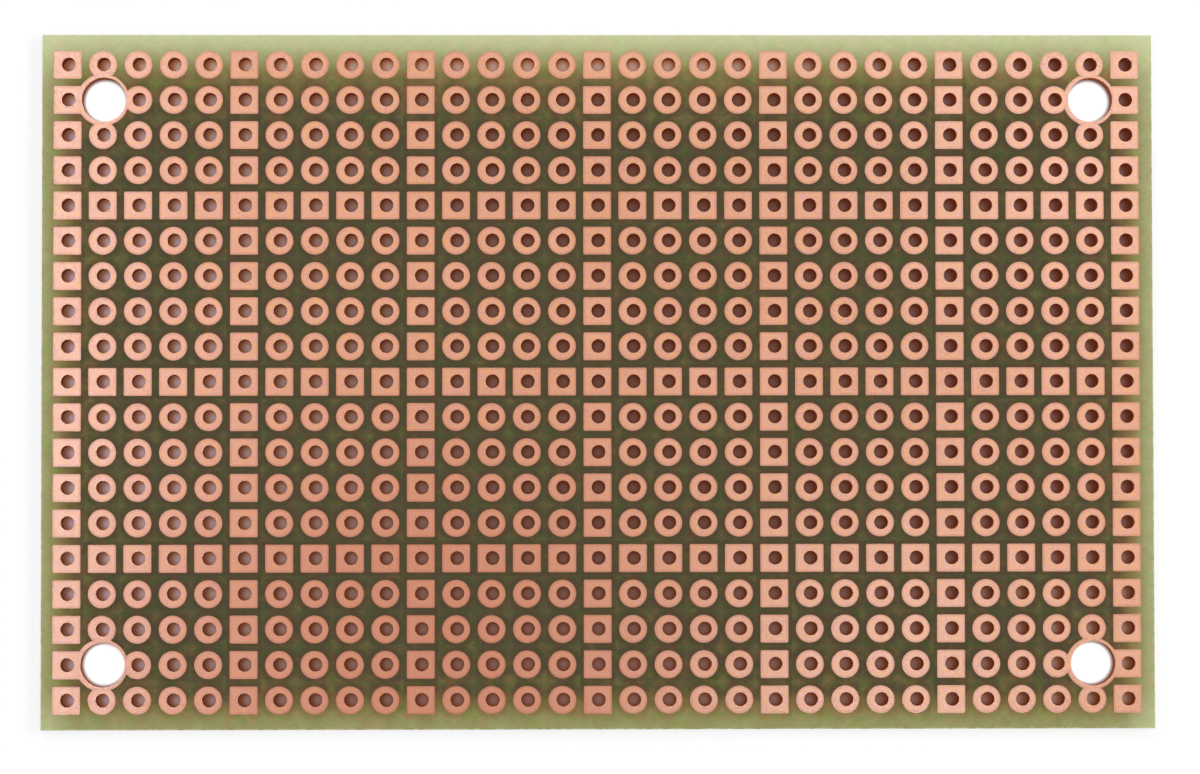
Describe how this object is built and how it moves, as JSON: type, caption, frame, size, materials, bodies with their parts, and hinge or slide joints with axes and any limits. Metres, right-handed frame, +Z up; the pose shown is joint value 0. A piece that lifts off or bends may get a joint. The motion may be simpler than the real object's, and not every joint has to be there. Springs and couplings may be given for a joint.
{
  "type": "prototype board",
  "caption": "Flat laminate sheet with a field of plated-through holes, a round or square copper pad around each on both faces, and a mounting hole near each corner.",
  "frame": {"origin": "centre of the underside, on the axis of the middle lead hole, in the plane of the lower copper pads", "axes": "+X along the length to the right, +Y along the width to the back, +Z up out of the upper face"},
  "size_m": [0.08, 0.05, 0.0016],
  "materials": {
    "laminate": "woven glass cloth in clear yellow-green epoxy, satin and slightly translucent, with paler sawn edges",
    "copper": "bare copper foil with a fine matte micro-etched surface and no tin, solder mask or lacquer"
  },
  "bodies": {
    "root": {"laminate": "laminate", "pad_row_01": "copper", "pad_row_02": "copper", "pad_row_03": "copper", "pad_row_04": "copper", "pad_row_05": "copper", "pad_row_06": "copper", "pad_row_07": "copper", "pad_row_08": "copper", "pad_row_09": "copper", "pad_row_10": "copper", "pad_row_11": "copper", "pad_row_12": "copper", "pad_row_13": "copper", "pad_row_14": "copper", "pad_row_15": "copper", "pad_row_16": "copper", "pad_row_17": "copper", "pad_row_18": "copper", "pad_row_19": "copper", "mounting_pad_back_left": "copper", "mounting_pad_back_right": "copper", "mounting_pad_front_left": "copper", "mounting_pad_front_right": "copper"}
  },
  "joints": []
}
